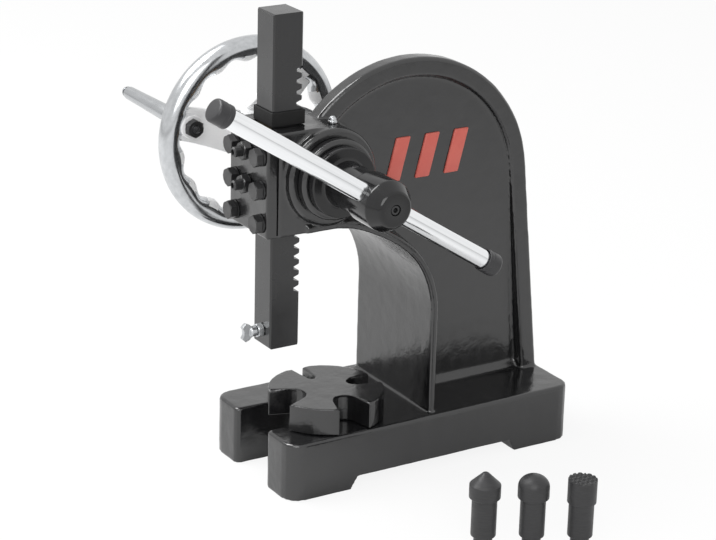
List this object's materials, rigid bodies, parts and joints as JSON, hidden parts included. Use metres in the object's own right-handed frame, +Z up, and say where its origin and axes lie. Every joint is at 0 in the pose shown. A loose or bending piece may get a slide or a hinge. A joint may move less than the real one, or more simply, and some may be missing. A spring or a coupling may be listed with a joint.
{
  "type": "arbor press",
  "caption": "Bench arbor press: cast C-frame, rack ram on a pinion turned by a sliding lever bar or a handwheel with crank, slotted anvil plate and loose tips.",
  "frame": {"origin": "on the bench, at the centre of the rear foot's underside, below the column", "axes": "+Z up along the ram; -Y to the front, where the ram and anvil plate are; +X along the pinion shaft to the lever side, with the handwheel on -X"},
  "size_m": [0.4426, 0.3567, 0.3708],
  "materials": {
    "black_paint": "gloss black paint on cast iron",
    "ram_steel": "dark satin ground steel",
    "bright_steel": "satin turned steel",
    "chrome": "polished chrome",
    "black_oxide": "black oxide steel",
    "bronze": "machined bearing bronze",
    "brass": "machined brass strip",
    "black_plastic": "satin black plastic",
    "black_rubber": "matt black rubber"
  },
  "bodies": {
    "frame": {"frame_casting": "black_paint", "front_cover": "black_paint", "gib": "brass", "cover_bolt_1": "black_oxide", "cover_bolt_2": "black_oxide", "cover_bolt_3": "black_oxide", "cover_bolt_4": "black_oxide", "cover_bolt_5": "black_oxide", "cover_bolt_6": "black_oxide", "cover_washer_1": "bright_steel", "cover_washer_2": "bright_steel", "cover_washer_3": "bright_steel", "cover_washer_4": "bright_steel", "cover_washer_5": "bright_steel", "cover_washer_6": "bright_steel", "adjusting_screw_1": "bright_steel", "adjusting_screw_2": "bright_steel", "lock_nut_1": "black_oxide", "lock_nut_2": "black_oxide", "ram_wiper": "black_rubber", "near_bush": "bronze", "far_bush": "bronze", "bearing_cap": "black_paint", "oil_cup": "bright_steel"},
    "ram": {"ram": "ram_steel", "clamp_lock_nut": "bright_steel"},
    "pinion": {"pinion_shaft": "bright_steel", "lever_hub": "black_paint", "hub_pin": "bright_steel", "bar_grub_screw": "black_oxide", "wheel_spacer": "bright_steel", "handwheel": "chrome", "wheel_key": "bright_steel", "wheel_washer": "bright_steel", "wheel_nut": "bright_steel", "crank_spindle": "bright_steel", "crank_nut": "black_oxide"},
    "lever": {"lever_bar": "chrome", "front_end_cap": "black_plastic", "rear_end_cap": "black_plastic"},
    "crank_handle": {"crank_handle": "bright_steel"},
    "anvil_plate": {"anvil_plate": "black_paint"},
    "clamp_screw": {"tip_clamp_screw": "bright_steel"},
    "pointed_tip": {"pointed_tip": "black_oxide"},
    "domed_tip": {"domed_tip": "black_oxide"},
    "serrated_tip": {"serrated_tip": "black_oxide"}
  },
  "joints": [
    {"name": "pinion_turn", "type": "hinge", "parent": "frame", "child": "pinion", "pos_m": [0, -0.1876, 0.247], "axis": [1, 0, 0], "range_deg": [-235.9, 134.9]},
    {"name": "ram_slide", "type": "slide", "parent": "frame", "child": "ram", "axis": [0, 0, 1], "range_m": [-0.0389, 0.068]},
    {"name": "lever_slide", "type": "slide", "parent": "pinion", "child": "lever", "axis": [0, -0.8425, 0.5388], "range_m": [-0.1293, 0.091]},
    {"name": "crank_handle_spin", "type": "hinge", "parent": "pinion", "child": "crank_handle", "pos_m": [-0.1033, -0.24322, 0.26159], "axis": [1, 0, 0], "continuous": true},
    {"name": "anvil_plate_turn", "type": "hinge", "parent": "frame", "child": "anvil_plate", "pos_m": [0.016, -0.1783, 0.0473], "axis": [0, 0, 1], "continuous": true},
    {"name": "clamp_screw_turn", "type": "hinge", "parent": "ram", "child": "clamp_screw", "pos_m": [0, -0.2329, 0.1205], "axis": [0, 1, 0], "range_deg": [0, 720]},
    {"name": "pointed_tip_lift", "type": "slide", "parent": "frame", "child": "pointed_tip", "axis": [0, 0, 1], "range_m": [0, 0.08]},
    {"name": "domed_tip_lift", "type": "slide", "parent": "frame", "child": "domed_tip", "axis": [0, 0, 1], "range_m": [0, 0.08]},
    {"name": "serrated_tip_lift", "type": "slide", "parent": "frame", "child": "serrated_tip", "axis": [0, 0, 1], "range_m": [0, 0.08]}
  ],
  "couplings": [
    {"joint": "ram_slide", "follows": "pinion_turn", "m_per_rad": -0.0165}
  ]
}
